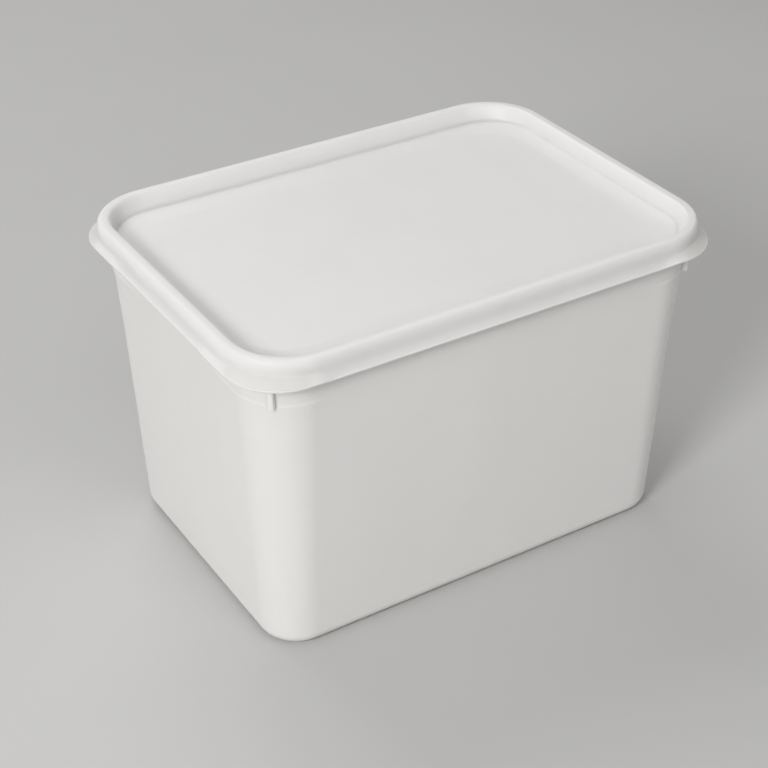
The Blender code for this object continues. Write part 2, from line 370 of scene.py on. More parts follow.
def outlineGeometry(tree, given):
    # the outline as a closed curve that knows its outward direction, its place and its tab share
    coreX = calc(tree, "SUBTRACT", given["Half length"], given["Corner radius"])
    coreY = calc(tree, "SUBTRACT", given["Half width"], given["Corner radius"])
    core = joinAxes(tree, coreX, coreY, 1.0)
    place = pointPlace(tree)
    within = vectorCalc(tree, "MINIMUM", vectorCalc(tree, "ABSOLUTE", place), core)
    centre = vectorCalc(tree, "MULTIPLY", within, vectorCalc(tree, "SIGN", place))
    outward = vectorCalc(tree, "NORMALIZE", vectorCalc(tree, "SUBTRACT", place, centre))
    foot = vectorCalc(tree, "DIVIDE", centre, core)
    size = splitAxes(tree, vectorCalc(tree, "ABSOLUTE", place))
    turn = splitAxes(tree, vectorCalc(tree, "ABSOLUTE", outward))
    onShort = easedStep(tree, size[1], given["Short side start"], given["Short side full"])
    onLong = easedStep(tree, size[0], given["Long side start"], given["Long side full"])
    share = calc(tree, "MULTIPLY", onShort, onLong)
    reach = tabReachSocket(tree, given, turn[0], turn[1])
    geometry = objectGeometry(tree, given["Outline"])
    geometry = storeAttribute(tree, geometry, "outward", outward, "FLOAT_VECTOR")
    geometry = storeAttribute(tree, geometry, "foot", foot, "FLOAT_VECTOR")
    geometry = storeAttribute(tree, geometry, "tabShare", share)
    geometry = storeAttribute(tree, geometry, "tabReach", reach)
    return addNode(tree, "GeometryNodeMeshToCurve", {0: geometry}).outputs[0]


def profileGeometry(tree, given):
    source = objectGeometry(tree, given["Profile"])
    geometry = storeAttribute(tree, source, "rowPlace", pointPlace(tree), "FLOAT_VECTOR")
    return addNode(tree, "GeometryNodeMeshToCurve", {0: geometry}).outputs[0]


def loftPlace(tree, given):
    # the rule: where a point of one row and one place on the outline goes
    row = splitAxes(tree, readAttribute(tree, "rowPlace", "FLOAT_VECTOR"))
    foot = splitAxes(tree, readAttribute(tree, "foot", "FLOAT_VECTOR"))
    outward = splitAxes(tree, readAttribute(tree, "outward", "FLOAT_VECTOR"))
    radius = readAttribute(tree, "cornerRadius")
    share = readAttribute(tree, "tabShare")
    reach = calc(tree, "MULTIPLY_ADD", readAttribute(tree, "flare"),
                 readAttribute(tree, "tabReach"), readAttribute(tree, "swell"))
    step = calc(tree, "MULTIPLY_ADD", share, reach, radius)
    axes = []
    for axis, half in ((0, "Half length"), (1, "Half width")):
        core = calc(tree, "SUBTRACT", calc(tree, "SUBTRACT", given[half], row[axis]), radius)
        aside = calc(tree, "MULTIPLY", outward[axis], step)
        axes.append(calc(tree, "MULTIPLY_ADD", foot[axis], core, aside))
    lift = calc(tree, "MULTIPLY", readAttribute(tree, "lift"), given["Tab lift"])
    return joinAxes(tree, *axes, calc(tree, "ADD", row[2], calc(tree, "MULTIPLY", lift, share)))


def giveOffset(tree, given):
    # large thin faces of a moulding are never quite flat
    noise = cloudNoise(tree, pointPlace(tree), given["Give size"], detail=1.0)
    swing = calc(tree, "MULTIPLY_ADD", noise, 2.0, -1.0)
    give = calc(tree, "MULTIPLY", readAttribute(tree, "give"), given["Wall give"])
    normal = addNode(tree, "GeometryNodeInputNormal").outputs[0]
    return scaledVector(tree, normal, calc(tree, "MULTIPLY", give, swing))


def makeLoftTree():
    tree, start, end = newTree("mouldedLoft", "GeometryNodeTree", loftInputs,
                               [("Geometry", "NodeSocketGeometry")])
    given = start.outputs
    swept = addNode(tree, "GeometryNodeCurveToMesh", {
        "Curve": outlineGeometry(tree, given),
        "Profile Curve": profileGeometry(tree, given),
    })
    placed = addNode(tree, "GeometryNodeSetPosition", {
        "Geometry": swept.outputs[0],
        "Position": loftPlace(tree, given),
    })
    merged = addNode(tree, "GeometryNodeMergeByDistance", {
        0: placed.outputs[0],
        "Distance": loftWeld,
    })
    facing = addNode(tree, "GeometryNodeFlipFaces", {0: merged.outputs[0]})
    bent = addNode(tree, "GeometryNodeSetPosition", {
        "Geometry": facing.outputs[0],
        "Offset": giveOffset(tree, given),
    })
    smooth = addNode(tree, "GeometryNodeSetShadeSmooth", {
        "Geometry": bent.outputs[0],
        "Shade Smooth": True,
    })
    dressTree(tree, smooth.outputs[0], given["Material"], end)
    return tree


def dressTree(tree, geometry, material, end):
    real = addNode(tree, "GeometryNodeRealizeInstances", {"Geometry": geometry})
    dressed = addNode(tree, "GeometryNodeSetMaterial", {
        "Geometry": real.outputs[0],
        "Material": material,
    })
    tree.links.new(dressed.outputs[0], end.inputs[0])


def loftPiece(name, tree, outline, rows, shape, material):
    profile = profileChain(name + "Profile", filledRows(roundedRows(rows), shape["longestRow"]))
    piece = evaluated(name, tree, {
        "Outline": outline,
        "Profile": profile,
        "Half length": lip["halfLength"],
        "Half width": lip["halfWidth"],
        "Corner radius": lip["radius"],
        "Tab step": tab["step"],
        "Tab radius": tab["radius"],
        "Tab lift": tab["lift"],
        "Short side start": tab["shortFrom"],
        "Short side full": tab["shortTo"],
        "Long side start": tab["longFrom"],
        "Long side full": tab["longTo"],
        "Wall give": shape["give"],
        "Give size": shape["giveSize"],
        "Material": material,
    })
    bpy.data.objects.remove(profile)
    return finishMesh(piece, ruleLabels + loftMarks)


# Lid, from under its panel round the rim's channel to the lip, over the bead and down to the panel

lidShape = {
    "wall": 1.2 * mm,
    "top": lidHigh.z,
    "crease": 142.6 * mm,
    "beadWallTop": 144.4 * mm,
    "recessFloor": 141.9 * mm,
    "recessFall": 0.1 * mm,  # above that at the recess's wall and below it at the band
    "panel": 141.0 * mm,
    "sweepStart": 0.15 * mm,  # insets from the lip's edge, pairs for the short and the long sides
    "sweepFlare": 0.96,
    "bead": (0.55 * mm, 0.9 * mm),
    "beadRadius": 28.7 * mm,
    "beadRound": 2.1 * mm,
    "beadTop": (5.8 * mm, 4.6 * mm),
    "beadTopShift": 0.3 * mm,
    "recessWallTop": (6.9 * mm, 6.3 * mm),
    "recessWallDrop": 1.4 * mm,
    "recessWallFoot": (7.4 * mm, 9.6 * mm),
    "recessFootShift": 0.2 * mm,
    "bandOuter": (9.0 * mm, 12.6 * mm),
    "bandInner": (16.2 * mm, 21.0 * mm),
    "panelRadius": 16.5 * mm,
    "sweepRows": 10,
    "beadRows": 14,
    "longestRow": 6.0 * mm,
    "give": 0.10 * mm,
    "giveSize": 55.0 * mm,
}

lidUnder = {
    "bandShift": -0.3 * mm,  # inwards from the row above it
    "footRise": 0.35 * mm,
    "beadTopShift": -0.5 * mm,
    "roofShift": 0.9 * mm,  # the channel's upper corner
    "shoulderShift": 0.2 * mm,
    "shoulderDrop": 1.6 * mm,
    "wallDrop": 0.6 * mm,
    "creaseDrop": 1.4 * mm,
    "creaseFlare": 0.10,
    "tabInset": 1.5 * mm,
    "tabFlare": 0.82,
    "lipInset": 1.0 * mm,
    "lipRise": 0.2 * mm,
    "lipFlare": 0.97,
}

lidRounds = {
    "panelUnder": 0.6 * mm,
    "bandUnder": 0.6 * mm,
    "footUnder": 0.5 * mm,
    "wallUnder": 0.4 * mm,
    "beadUnder": 0.4 * mm,
    "channelRoof": 0.5 * mm,
    "channelShoulder": 0.8 * mm,
    "channelFoot": 1.0 * mm,
    "tabUnder": 0.6 * mm,
    "lipInner": 0.2 * mm,
    "lipLow": 0.25 * mm,
    "lipHigh": 0.2 * mm,
    "crease": 0.3 * mm,
    "beadTop": 0.9 * mm,
    "recessWallTop": 1.2 * mm,
    "recessWallFoot": 1.7 * mm,
    "band": 1.0 * mm,
    "panel": 1.2 * mm,
}


def lidPanelRows():
    # the underside of the panel, of the band round it and of the recess's wall
    s, under, ease = lidShape, lidUnder, lidRounds
    wall = s["wall"]
    roof = s["top"] - wall
    panel = makeRow(s["bandInner"], s["panel"] - wall, s["panelRadius"], ease=ease["panelUnder"])
    band = movedIn(s["bandOuter"], under["bandShift"])
    foot = movedIn(s["recessWallFoot"], -wall)
    return [
        middleRow(panel, s["panel"] - wall),
        panel,
        makeRow(band, s["recessFloor"] - wall, ease=ease["bandUnder"]),
        makeRow(foot, s["recessFloor"] + under["footRise"], ease=ease["footUnder"]),
        makeRow(movedIn(s["recessWallTop"], -wall), roof - wall, ease=ease["wallUnder"]),
        makeRow(movedIn(s["beadTop"], under["beadTopShift"]), roof, ease=ease["beadUnder"]),
    ]


def lidChannelRows():
    # the rim's channel inside the bead, and the underside of the sweep and the lip
    s, under, ease = lidShape, lidUnder, lidRounds
    roof = s["top"] - s["wall"]
    channel = movedIn(s["bead"], s["wall"])
    radius = s["beadRadius"] - s["wall"]
    lipTop = lip["height"] + lip["thickness"]
    return [
        makeRow(movedIn(channel, under["roofShift"]), roof,
                radius - under["roofShift"], ease=ease["channelRoof"]),
        makeRow(movedIn(channel, under["shoulderShift"]), roof - under["shoulderDrop"],
                radius - under["shoulderShift"], ease=ease["channelShoulder"]),
        makeRow(channel, s["beadWallTop"] - under["wallDrop"], radius),
        makeRow(channel, s["crease"] - under["creaseDrop"], radius,
                flare=under["creaseFlare"], ease=ease["channelFoot"]),
        makeRow(under["tabInset"], lipTop,
                flare=under["tabFlare"], lift=1.0, ease=ease["tabUnder"]),
        makeRow(under["lipInset"], lip["height"] + under["lipRise"],
                flare=under["lipFlare"], lift=1.0, ease=ease["lipInner"]),
        makeRow(0.0, lip["height"], flare=1.0, lift=1.0, ease=ease["lipLow"]),
    ]


def lidOuterRows():
    # the edge of the lip, the hollow sweep up to the crease, and the bead to its top
    s = lidShape
    low = lip["height"] + lip["thickness"]
    rows = [makeRow(0.0, low, flare=1.0, lift=1.0, ease=lidRounds["lipHigh"])]
    for i in range(s["sweepRows"] + 1):
        share = i / s["sweepRows"]
        left = 1 - share
        swept = 1 - left**2
        inset = tuple(s["sweepStart"] + (value - s["sweepStart"]) * swept for value in s["bead"])
        radius = lip["radius"] + (s["beadRadius"] - lip["radius"]) * swept
        height = low + (s["crease"] - low) * share
        ease = lidRounds["crease"] if i == s["sweepRows"] else 0.0
        rows.append(makeRow(inset, height, radius, s["sweepFlare"] * left, left, ease=ease))
    for i in range(s["beadRows"] + 1):
        angle = math.pi / 2 * i / s["beadRows"]
        step = s["beadRound"] * (1 - math.cos(angle))
        height = s["beadWallTop"] + (s["top"] - s["beadWallTop"]) * math.sin(angle)
        rows.append(makeRow(movedIn(s["bead"], step), height, s["beadRadius"] - step))
    return rows


def lidRecessRows():
    # down the recess's wall, over its floor and down the band to the panel
    s, ease = lidShape, lidRounds
    floor, fall = s["recessFloor"], s["recessFall"]
    beadTop = movedIn(s["beadTop"], s["beadTopShift"])
    foot = movedIn(s["recessWallFoot"], s["recessFootShift"])
    panel = makeRow(s["bandInner"], s["panel"], s["panelRadius"], give=1.0, ease=ease["panel"])
    return [
        makeRow(beadTop, s["top"], ease=ease["beadTop"]),
        makeRow(s["recessWallTop"], s["top"] - s["recessWallDrop"], ease=ease["recessWallTop"]),
        makeRow(foot, floor + fall, ease=ease["recessWallFoot"]),
        makeRow(s["bandOuter"], floor - fall, ease=ease["band"]),
        panel,
        middleRow(panel, s["panel"]),
    ]


def lidRows():
    return lidPanelRows() + lidChannelRows() + lidOuterRows() + lidRecessRows()


# Tub, from its hollowed base over the foot, up the drafted wall to the shoulder and the rim

tubShape = {
    "halfLength": 100.45 * mm,  # where the walls would meet the floor
    "halfWidth": 69.35 * mm,
    "radius": 17.45 * mm,
    "draft": 6.3 / 137.0,
    "radiusGrowth": 5.35 / 137.0,
    "baseRound": 6.0 * mm,
    "footWidth": 4.0 * mm,
    "footSlope": 1.0 * mm,
    "footRecess": 1.5 * mm,
    "footEase": 0.4 * mm,
    "giveFrom": 16.0 * mm,  # heights between which the wall starts to give
    "giveTo": 40.0 * mm,
    "easeStart": 96.0 * mm,  # from here up the wall leaves its draft for the shoulder
    "easeRound": 6.0 * mm,
    "shoulderStart": 120.3 * mm,
    "shoulderTop": 126.0 * mm,
    "ledgeTop": 126.7 * mm,
    "neckTop": 138.0 * mm,
    "baseRows": 10,
    "longestRow": 7.0 * mm,
    "give": 0.16 * mm,
    "giveSize": 70.0 * mm,
}

# how far each stands out from the drafted wall on the sides and at the corners, and its round
tubSteps = {
    "shoulderStart": (0.35 * mm, 0.4 * mm, 4.0 * mm),
    "shoulderTop": (0.7 * mm, 0.92 * mm, 0.5 * mm),
    "ledgeTop": (0.74 * mm, 0.66 * mm, 0.35 * mm),
    "neckTop": (1.3 * mm, 1.3 * mm, 0.3 * mm),
}


def wallRow(height, side=0.0, corner=0.0, give=0.0, ease=0.0):
    # a section of the drafted wall, moved out on the sides and at the corners
    s = tubShape
    short = lip["halfLength"] - (s["halfLength"] + s["draft"] * height + side)
    long = lip["halfWidth"] - (s["halfWidth"] + s["draft"] * height + side)
    radius = s["radius"] + s["radiusGrowth"] * height + side
    return makeRow((short, long), height, radius, swell=corner - side, give=give, ease=ease)


def baseRow(inset, height, ease=0.0):
    # a section of the base, all of it drawn in from where the walls would meet the floor
    row = wallRow(0.0, side=-inset, corner=-inset, ease=ease)
    row[2] = height
    return row


def tubRows():
    s = tubShape
    footInner = s["baseRound"] + s["footWidth"]
    hollow = baseRow(footInner + s["footSlope"], s["footRecess"], ease=s["footEase"])
    rows = [
        middleRow(hollow, s["footRecess"]),
        hollow,
        baseRow(footInner, 0.0, ease=s["footEase"]),
    ]
    for i in range(s["baseRows"] + 1):
        angle = math.pi / 2 * i / s["baseRows"]
        inset = s["baseRound"] * (1 - math.sin(angle))
        height = s["baseRound"] * (1 - math.cos(angle))
        rows.append(wallRow(height, side=-inset, corner=-inset))
    rows += [
        wallRow(s["giveFrom"]),
        wallRow(s["giveTo"], give=1.0),
        wallRow(s["easeStart"], give=1.0, ease=s["easeRound"]),
    ]
    for label, (side, corner, ease) in tubSteps.items():
        rows.append(wallRow(s[label], side, corner, ease=ease))
    return rows + rimRows()


rimShape = {
    "fitGap": 0.3 * mm,
    "underside": 139.0 * mm,
    "edge": 0.3 * mm,  # drawn in at its lower edge, over this rise
    "edgeRise": 0.5 * mm,
    "upperShift": 0.25 * mm,
    "upperDrop": 2.2 * mm,
    "topShift": 1.2 * mm,
    "innerTop": (4.7 * mm, 3.8 * mm),
    "innerFoot": (5.0 * mm, 4.1 * mm),
    "ease": 0.3 * mm,
    "upperEase": 1.0 * mm,
    "topEase": 0.6 * mm,
}


def rimRows():
    # inside the lid's channel, where only the gap under the lip gives a glimpse of it
    s = rimShape
    skin = lidShape["wall"]
    roof = lidShape["top"] - skin - s["fitGap"]
    outer = movedIn(lidShape["bead"], skin + s["fitGap"])
    radius = lidShape["beadRadius"] - skin - s["fitGap"]
    filled = lidShape["panel"] - skin - s["fitGap"]
    inner = makeRow(s["innerFoot"], filled, ease=s["ease"])
    outside = [  # shift inwards, height and round
        (s["edge"], s["underside"], s["ease"]),
        (0.0, s["underside"] + s["edgeRise"], s["ease"]),
        (s["upperShift"], roof - s["upperDrop"], s["upperEase"]),
        (s["topShift"], roof, s["topEase"]),
    ]
    rows = [makeRow(movedIn(outer, shift), height, radius - shift, ease=ease)
            for shift, height, ease in outside]
    return rows + [makeRow(s["innerTop"], roof, ease=s["ease"]), inner, middleRow(inner, filled)]


# Upright ribs that carry the rim at the four corners

ribShape = {
    "thickness": 2.0 * mm,  # at its outer face; it widens towards the wall
    "taper": math.radians(12.0),
    "reach": 3.2 * mm,
    "sink": 2.0 * mm,
    "bottom": 125.4 * mm,
    "top": 139.8 * mm,
    "angle": math.radians(47.0),
    "round": 0.35 * mm,
    "roundSteps": 4,
}

ribInputs = [
    ("Centre length", "NodeSocketFloat", 0.08),
    ("Centre width", "NodeSocketFloat", 0.05),
    ("Wall radius", "NodeSocketFloat", 0.02),
    ("Angle", "NodeSocketFloat", 0.8),
    ("Thickness", "NodeSocketFloat", 0.002),
    ("Taper", "NodeSocketFloat", 0.3),
    ("Reach", "NodeSocketFloat", 0.003),
    ("Sink", "NodeSocketFloat", 0.002),
    ("Bottom", "NodeSocketFloat", 0.12),
    ("Top", "NodeSocketFloat", 0.14),
    ("Round", "NodeSocketFloat", 0.0003),
    ("Round steps", "NodeSocketInt", 4),
    ("Material", "NodeSocketMaterial", None),
]
ribTurn = "ribTurn"
ribWeld = 0.005 * mm


def ribGeometry(tree, given):
    # one rib: a rounded plan, wider towards the wall, drawn up to its height
    deep = calc(tree, "ADD", given["Reach"], given["Sink"])
    widening = calc(tree, "MULTIPLY", calc(tree, "MULTIPLY", deep, 2.0),
                    calc(tree, "TANGENT", given["Taper"]))
    plan = addNode(tree, "GeometryNodeCurvePrimitiveQuadrilateral", {
        "Height": deep,
        "Top Width": given["Thickness"],
        "Bottom Width": calc(tree, "ADD", given["Thickness"], widening),
        "Offset": 0.0,
    }, mode="TRAPEZOID")
    turnedPlan = addNode(tree, "GeometryNodeTransform", {
        "Geometry": plan.outputs[0],
        "Rotation": (0.0, 0.0, -math.pi / 2),
    })
    rounded = addNode(tree, "GeometryNodeFilletCurve", {
        "Curve": turnedPlan.outputs[0],
        "Radius": given["Round"],
        "Count": given["Round steps"],
    }, mode="POLY")
    face = addNode(tree, "GeometryNodeFillCurve", {"Curve": rounded.outputs[0]}, mode="NGONS")
    slab = addNode(tree, "GeometryNodeExtrudeMesh", {
        "Mesh": face.outputs[0],
        "Offset": joinAxes(tree, z=calc(tree, "SUBTRACT", given["Top"], given["Bottom"])),
        "Offset Scale": 1.0,
        "Individual": False,
    })
    foot = addNode(tree, "GeometryNodeFlipFaces", {0: face.outputs[0]})
    joined = addNode(tree, "GeometryNodeJoinGeometry")
    tree.links.new(slab.outputs[0], joined.inputs[0])
    tree.links.new(foot.outputs[0], joined.inputs[0])
    return addNode(tree, "GeometryNodeMergeByDistance", {
        0: joined.outputs[0],
        "Distance": ribWeld,
    }).outputs[0]


def ribPoints(tree, given):
    # one point for each corner, where the rib stands and how it is turned
    corners = addNode(tree, "GeometryNodeCurvePrimitiveQuadrilateral", {
        "Width": calc(tree, "MULTIPLY", given["Centre length"], 2.0),
        "Height": calc(tree, "MULTIPLY", given["Centre width"], 2.0),
    })
    points = addNode(tree, "GeometryNodeCurveToPoints", {0: corners.outputs[0]}, mode="EVALUATED")
    ray = joinAxes(tree, calc(tree, "COSINE", given["Angle"]), calc(tree, "SINE", given["Angle"]))
    outward = vectorCalc(tree, "MULTIPLY", ray, vectorCalc(tree, "SIGN", pointPlace(tree)))
    beyond = calc(tree, "SUBTRACT", given["Reach"], given["Sink"])
    middle = calc(tree, "MULTIPLY_ADD", beyond, 0.5, given["Wall radius"])
    stand = vectorCalc(tree, "ADD", scaledVector(tree, outward, middle),
                       joinAxes(tree, z=given["Bottom"]))
    turned = addNode(tree, "FunctionNodeAlignRotationToVector", {"Vector": outward}, axis="X")
    held = storeAttribute(tree, points.outputs[0], ribTurn, turned.outputs[0], "QUATERNION")
    moved = addNode(tree, "GeometryNodeSetPosition", {"Geometry": held, "Offset": stand})
    return moved.outputs[0]


def makeRibTree():
    tree, start, end = newTree("cornerRibs", "GeometryNodeTree", ribInputs,
                               [("Geometry", "NodeSocketGeometry")])
    given = start.outputs
    ribs = addNode(tree, "GeometryNodeInstanceOnPoints", {
        "Points": ribPoints(tree, given),
        "Instance": ribGeometry(tree, given),
        "Rotation": readAttribute(tree, ribTurn, "QUATERNION"),
    })
    dressTree(tree, ribs.outputs[0], given["Material"], end)
    return tree


def ribPiece(name, material):
    bottom = ribShape["bottom"]
    radius = tubShape["radius"] + tubShape["radiusGrowth"] * bottom
    piece = evaluated(name, makeRibTree(), {
        "Centre length": tubShape["halfLength"] + tubShape["draft"] * bottom - radius,
        "Centre width": tubShape["halfWidth"] + tubShape["draft"] * bottom - radius,
        "Wall radius": radius,
        "Angle": ribShape["angle"],
        "Thickness": ribShape["thickness"],
        "Taper": ribShape["taper"],
        "Reach": ribShape["reach"],
        "Sink": ribShape["sink"],
        "Bottom": bottom,
        "Top": ribShape["top"],
        "Round": ribShape["round"],
        "Round steps": ribShape["roundSteps"],
        "Material": material,
    })
    piece.data.shade_smooth()
    return finishMesh(piece, (ribTurn,))


# Finishes

def makeGrainGroup():
    # fine moulded grain: a height for bump and a change of gloss
    tree, start, end = newTree("mouldedGrain", "ShaderNodeTree", [
        ("Place", "NodeSocketVector", None),
        ("Grain size", "NodeSocketFloat", 0.0006),
        ("Swell size", "NodeSocketFloat", 0.008),
        ("Swell share", "NodeSocketFloat", 0.5),
        ("Grain gloss", "NodeSocketFloat", 0.4),
        ("Swell gloss", "NodeSocketFloat", 0.6),
    ], [("Height", "NodeSocketFloat"), ("Gloss", "NodeSocketFloat")])
    given = start.outputs
    fine = cloudNoise(tree, given["Place"], given["Grain size"], detail=2.0)
    broad = cloudNoise(tree, given["Place"], given["Swell size"], detail=1.0)
    height = mixValues(tree, given["Swell share"], fine, broad)
    gloss = calc(tree, "MULTIPLY_ADD", broad, given["Swell gloss"],
                 calc(tree, "MULTIPLY", fine, given["Grain gloss"]))
    tree.links.new(height, end.inputs["Height"])
    tree.links.new(gloss, end.inputs["Gloss"])
    return tree


def makeFlowGroup():
    # faint clouds and streaks that the melt leaves as it fills the mould
    tree, start, end = newTree("flowMarks", "ShaderNodeTree", [
        ("Place", "NodeSocketVector", None),
        ("Plain", "NodeSocketColor", (0.8, 0.8, 0.8, 1.0)),
        ("Cloud", "NodeSocketColor", (0.76, 0.76, 0.76, 1.0)),
        ("Cloud size", "NodeSocketFloat", 0.05),
        ("Cloud from", "NodeSocketFloat", 0.35),
        ("Cloud to", "NodeSocketFloat", 0.75),
        ("Stretch", "NodeSocketFloat", 0.35),
    ], [("Colour", "NodeSocketColor"), ("Mask", "NodeSocketFloat")])
    given = start.outputs
    squeezed = vectorCalc(tree, "MULTIPLY", given["Place"],
                          joinAxes(tree, 1.0, 1.0, given["Stretch"]))
    cloud = cloudNoise(tree, squeezed, given["Cloud size"], detail=3.0, distortion=0.6)
    mask = easedStep(tree, cloud, given["Cloud from"], given["Cloud to"])
    colour = mixColours(tree, mask, given["Plain"], given["Cloud"])
    tree.links.new(colour, end.inputs["Colour"])
    tree.links.new(mask, end.inputs["Mask"])
    return tree


def makeScuffGroup():
    # short fine scratches, thickest where the moulding is handled
    tree, start, end = newTree("fineScuffs", "ShaderNodeTree", [
        ("Place", "NodeSocketVector", None),
        ("Patch size", "NodeSocketFloat", 0.03),
        ("Patch from", "NodeSocketFloat", 0.5),
        ("Patch to", "NodeSocketFloat", 0.7),
        ("Scratch size", "NodeSocketFloat", 0.004),
        ("Scratch stretch", "NodeSocketFloat", 0.18),
        ("Thinness", "NodeSocketFloat", 28.0),
        ("Amount", "NodeSocketFloat", 0.3),
    ], [("Mask", "NodeSocketFloat")])
    given = start.outputs
    patch = cloudNoise(tree, given["Place"], given["Patch size"], detail=2.0)
    stretched = vectorCalc(tree, "MULTIPLY", given["Place"],
                           joinAxes(tree, 1.0, given["Scratch stretch"], 1.0))
    lines = cloudNoise(tree, stretched, given["Scratch size"], detail=4.0, distortion=1.5)
    offLine = calc(tree, "ABSOLUTE", calc(tree, "SUBTRACT", lines, 0.5))
    shadedTab = calc(tree, "SUBTRACT", 1.0, calc(tree, "MULTIPLY", offLine, given["Thinness"]))
    kept = calc(tree, "MULTIPLY", calc(tree, "MAXIMUM", shadedTab, 0.0),
                easedStep(tree, patch, given["Patch from"], given["Patch to"]))
    tree.links.new(calc(tree, "MULTIPLY", kept, given["Amount"]), end.inputs["Mask"])
    return tree


def makeTabShadeGroup():
    # painted shade: the tabs under the bead's corners are painted darker, standing in for the
    # bead's shadow on them and for the light that passes through them
    tree, start, end = newTree("paintedTabShade", "ShaderNodeTree", [
        ("Place", "NodeSocketVector", None),
        ("Colour", "NodeSocketColor", (0.8, 0.8, 0.8, 1.0)),
        ("Shaded colour", "NodeSocketColor", (0.7, 0.7, 0.7, 1.0)),
        ("Centre", "NodeSocketVector", None),
        ("From", "NodeSocketFloat", 0.028),
        ("To", "NodeSocketFloat", 0.029),
        ("Corner size", "NodeSocketFloat", 0.01),
    ], [("Colour", "NodeSocketColor"), ("Mask", "NodeSocketFloat")])
    given = start.outputs
    quarter = vectorCalc(tree, "ABSOLUTE", given["Place"])
    flat = vectorCalc(tree, "MULTIPLY", quarter, (1.0, 1.0, 0.0))
    past = vectorCalc(tree, "MAXIMUM", vectorCalc(tree, "SUBTRACT", flat, given["Centre"]))
    distance = addNode(tree, "ShaderNodeVectorMath", {0: past}, operation="LENGTH").outputs["Value"]
    sides = splitAxes(tree, past)
    nearCorner = calc(tree, "MINIMUM", sides[0], sides[1])
    mask = calc(tree, "MULTIPLY", easedStep(tree, nearCorner, 0.0, given["Corner size"]),
                easedStep(tree, distance, given["From"], given["To"]))
    colour = mixColours(tree, mask, given["Colour"], given["Shaded colour"])
    tree.links.new(colour, end.inputs["Colour"])
    tree.links.new(mask, end.inputs["Mask"])
    return tree


def useGroup(tree, group, values):
    return addNode(tree, "ShaderNodeGroup", values, node_tree=group).outputs


groups = {
    "grain": makeGrainGroup(),
    "flow": makeFlowGroup(),
    "scuff": makeScuffGroup(),
    "tabShade": makeTabShadeGroup(),
}

tubFinish = {
    "plain": (0.80, 0.79, 0.78, 1.0),
    "cloud": (0.785, 0.775, 0.765, 1.0),
    "roughness": 0.42,
    "glossSwing": 0.08,
    "scuffRoughness": 0.12,
    "grainSize": 0.7 * mm,
    "swellSize": 9.0 * mm,
    "swellShare": 0.75,
    "cloudSize": 60.0 * mm,
    "bump": 0.06,
    "bumpDepth": 0.06 * mm,
    "scuffs": 0.35,
    "ior": 1.49,
    "glow": 1.0,  # share of the light that goes into the skin and comes out beside
    "glowDepth": 2.5 * mm,
    "glowColour": (1.0, 0.98, 0.96),
}

lidFinish = {
    **tubFinish,
    "plain": (0.82, 0.81, 0.80, 1.0),
    "cloud": (0.805, 0.795, 0.785, 1.0),
    # painted shade on the corner tabs: their darker colour, and where it starts and ends
    "shadedTab": (0.69, 0.68, 0.67, 1.0),
    "shadeFrom": -0.5 * mm,  # outwards from the bead's wall
    "shadeTo": 0.6 * mm,
    "shadeCorner": 10.0 * mm,
    "roughness": 0.38,
    "swellSize": 7.0 * mm,
    "cloudSize": 45.0 * mm,
}


# the lid's colour with painted shade on its corner tabs
def tabShadeColour(tree, place, colour, finish):
    bead = lidShape["beadRadius"]
    inset = movedIn(lidShape["bead"], bead)
    return useGroup(tree, groups["tabShade"], {
        "Place": place,
        "Colour": colour,
        "Shaded colour": finish["shadedTab"],
        "Centre": (lip["halfLength"] - inset[0], lip["halfWidth"] - inset[1], 0.0),
        "From": bead + finish["shadeFrom"],
        "To": bead + finish["shadeTo"],
        "Corner size": finish["shadeCorner"],
    })["Colour"]


def makePlastic(name, finish):
    material = bpy.data.materials.new(name)
    material.use_nodes = True
    tree = material.node_tree
    inputs = tree.nodes["Principled BSDF"].inputs
    place = addNode(tree, "ShaderNodeTexCoord").outputs["Object"]
    colour = useGroup(tree, groups["flow"], {
        "Place": place,
        "Plain": finish["plain"],
        "Cloud": finish["cloud"],
        "Cloud size": finish["cloudSize"],
    })["Colour"]
    # painted shade darkens the lid's corner tabs
    if "shadedTab" in finish:
        colour = tabShadeColour(tree, place, colour, finish)
    grain = useGroup(tree, groups["grain"], {
        "Place": place,
        "Grain size": finish["grainSize"],
        "Swell size": finish["swellSize"],
        "Swell share": finish["swellShare"],
    })
    scuff = useGroup(tree, groups["scuff"], {"Place": place, "Amount": finish["scuffs"]})
    gloss = calc(tree, "MULTIPLY_ADD", grain["Gloss"], finish["glossSwing"],
                 finish["roughness"] - finish["glossSwing"] / 2)
    rough = calc(tree, "MULTIPLY_ADD", scuff["Mask"], finish["scuffRoughness"], gloss)
    bump = addNode(tree, "ShaderNodeBump", {
        "Strength": finish["bump"],
        "Distance": finish["bumpDepth"],
        "Height": grain["Height"],
    })
    tree.links.new(colour, inputs["Base Color"])
    tree.links.new(rough, inputs["Roughness"])
    tree.links.new(bump.outputs[0], inputs["Normal"])
    inputs["IOR"].default_value = finish["ior"]
    inputs["Subsurface Weight"].default_value = finish["glow"]
    inputs["Subsurface Radius"].default_value = finish["glowColour"]
    inputs["Subsurface Scale"].default_value = finish["glowDepth"]
    return material


tubPlastic = makePlastic("tubPlastic", tubFinish)
lidPlastic = makePlastic("lidPlastic", lidFinish)
print("finishes ready")


# The pieces

loftTree = makeLoftTree()
outline = chain("lipOutline", [(x, y, 0.0) for x, y in fullOutline()], closed=True)
lidPiece = loftPiece("lidMoulding", loftTree, outline, lidRows(), lidShape, lidPlastic)
tubPiece = loftPiece("tubMoulding", loftTree, outline, tubRows(), tubShape, tubPlastic)
bpy.data.objects.remove(outline)
ribs = ribPiece("rimRibs", tubPlastic)

for piece, node, slotName in (
    (lidPiece, "lid", "lid_plastic"),
    (tubPiece, "tub", "tub_plastic"),
    (ribs, "tub", "tub_plastic"),
):
    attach(piece, "root")
    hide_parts(node)


# Floor, light and camera

